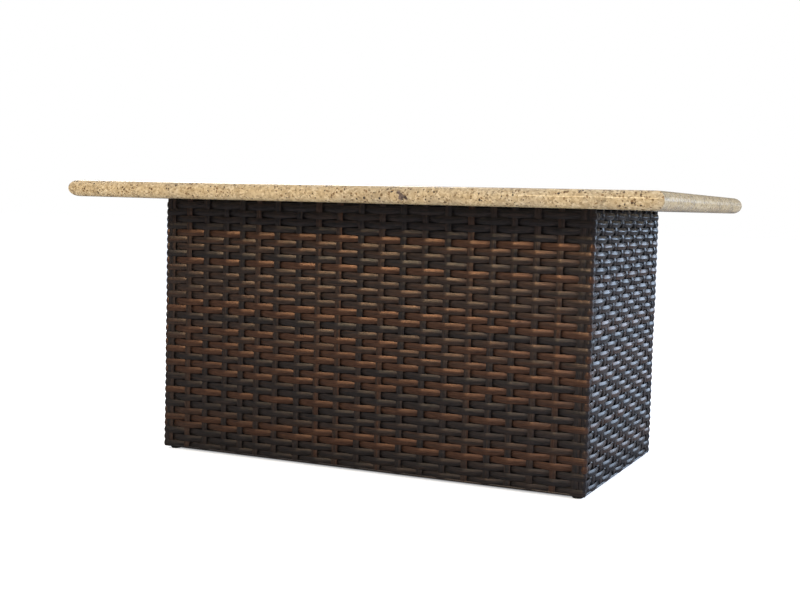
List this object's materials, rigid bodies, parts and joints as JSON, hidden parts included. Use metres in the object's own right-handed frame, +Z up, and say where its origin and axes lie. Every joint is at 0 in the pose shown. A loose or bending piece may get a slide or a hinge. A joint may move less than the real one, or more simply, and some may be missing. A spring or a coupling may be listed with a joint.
{
  "type": "fire pit table",
  "caption": "Rectangular fire pit table: round-edged granite top on a woven resin base, with a gas burner pan, rear access door, control knob, igniter and levelling feet.",
  "frame": {"origin": "on the floor, under the middle of the table", "axes": "+X along the table towards the pictured short end, -Y out of the pictured long front, +Z up"},
  "size_m": [1.32, 0.812, 0.605],
  "materials": {
    "granite": "polished",
    "lava_rock": "rough",
    "wicker": "semi-gloss woven strands",
    "frame_tube": "powder coated",
    "stainless": "brushed",
    "coated_metal": "powder coated",
    "galvanised": "galvanised",
    "brass": "machined",
    "aluminium_tube": "drawn",
    "black_plastic": "moulded",
    "red_plastic": "moulded",
    "rubber": "moulded",
    "ceramic": "unglazed"
  },
  "bodies": {
    "base": {"air_mixer": "brass", "burner": "stainless", "burner_lock_nut": "brass", "catch_magnet": "black_plastic", "control_box": "galvanised", "control_plate": "stainless", "control_plate_screws": "stainless", "door_jambs": "frame_tube", "electrode_insulator": "ceramic", "fire_pan": "stainless", "foot_inserts": "black_plastic", "frame_bottom_rail_back": "frame_tube", "frame_bottom_rail_front": "frame_tube", "frame_bottom_rail_left": "frame_tube", "frame_bottom_rail_right": "frame_tube", "frame_post_back_left": "frame_tube", "frame_post_back_right": "frame_tube", "frame_post_front_left": "frame_tube", "frame_post_front_right": "frame_tube", "frame_top_rail_back": "frame_tube", "frame_top_rail_front": "frame_tube", "frame_top_rail_left": "frame_tube", "frame_top_rail_right": "frame_tube", "gas_line": "aluminium_tube", "gas_valve": "brass", "granite_top": "granite", "hinge_frame_leaves": "stainless", "hinge_pins": "stainless", "igniter_body": "black_plastic", "ignition_lead": "rubber", "inlet_fitting": "brass", "lava_rock_bed": "lava_rock", "orifice_elbow": "brass", "pan_rails": "frame_tube", "spark_electrode": "stainless", "tank_tray": "galvanised", "thermocouple": "stainless", "top_bumpers": "rubber", "weave_back_control_side": "wicker", "weave_back_hinge_side": "wicker", "weave_front": "wicker", "weave_left_end": "wicker", "weave_right_end": "wicker"},
    "door": {"weave_door": "wicker", "door_stile_hinge_side": "frame_tube", "door_stile_latch_side": "frame_tube", "door_rail_top": "frame_tube", "door_rail_bottom": "frame_tube", "hinge_door_leaves": "stainless", "door_pull": "coated_metal", "catch_strike": "galvanised"},
    "plunger": {"valve_plunger": "stainless"},
    "knob": {"control_knob": "black_plastic", "valve_stem": "stainless"},
    "button": {"igniter_button": "red_plastic"},
    "foot_front_left": {"levelling_foot_front_left": "black_plastic"},
    "foot_front_right": {"levelling_foot_front_right": "black_plastic"},
    "foot_back_left": {"levelling_foot_back_left": "black_plastic"},
    "foot_back_right": {"levelling_foot_back_right": "black_plastic"}
  },
  "joints": [
    {"name": "door_swing", "type": "hinge", "parent": "base", "child": "door", "pos_m": [-0.422, 0.2715, 0.286], "axis": [0, 0, 1], "range_deg": [0, 110]},
    {"name": "knob_push", "type": "slide", "parent": "base", "child": "plunger", "axis": [0, -1, 0], "range_m": [0, 0.003], "stiffness_N_per_m": 1500, "springref_m": -0.004},
    {"name": "knob_turn", "type": "hinge", "parent": "plunger", "child": "knob", "pos_m": [0.195, 0.2725, 0.435], "axis": [0, 1, 0], "range_deg": [0, 180]},
    {"name": "igniter_press", "type": "slide", "parent": "base", "child": "button", "axis": [0, -1, 0], "range_m": [0, 0.004], "stiffness_N_per_m": 800, "springref_m": -0.004},
    {"name": "foot_front_left_level", "type": "slide", "parent": "base", "child": "foot_front_left", "axis": [0, 0, -1], "range_m": [0, 0.012]},
    {"name": "foot_front_right_level", "type": "slide", "parent": "base", "child": "foot_front_right", "axis": [0, 0, -1], "range_m": [0, 0.012]},
    {"name": "foot_back_left_level", "type": "slide", "parent": "base", "child": "foot_back_left", "axis": [0, 0, -1], "range_m": [0, 0.012]},
    {"name": "foot_back_right_level", "type": "slide", "parent": "base", "child": "foot_back_right", "axis": [0, 0, -1], "range_m": [0, 0.012]}
  ]
}
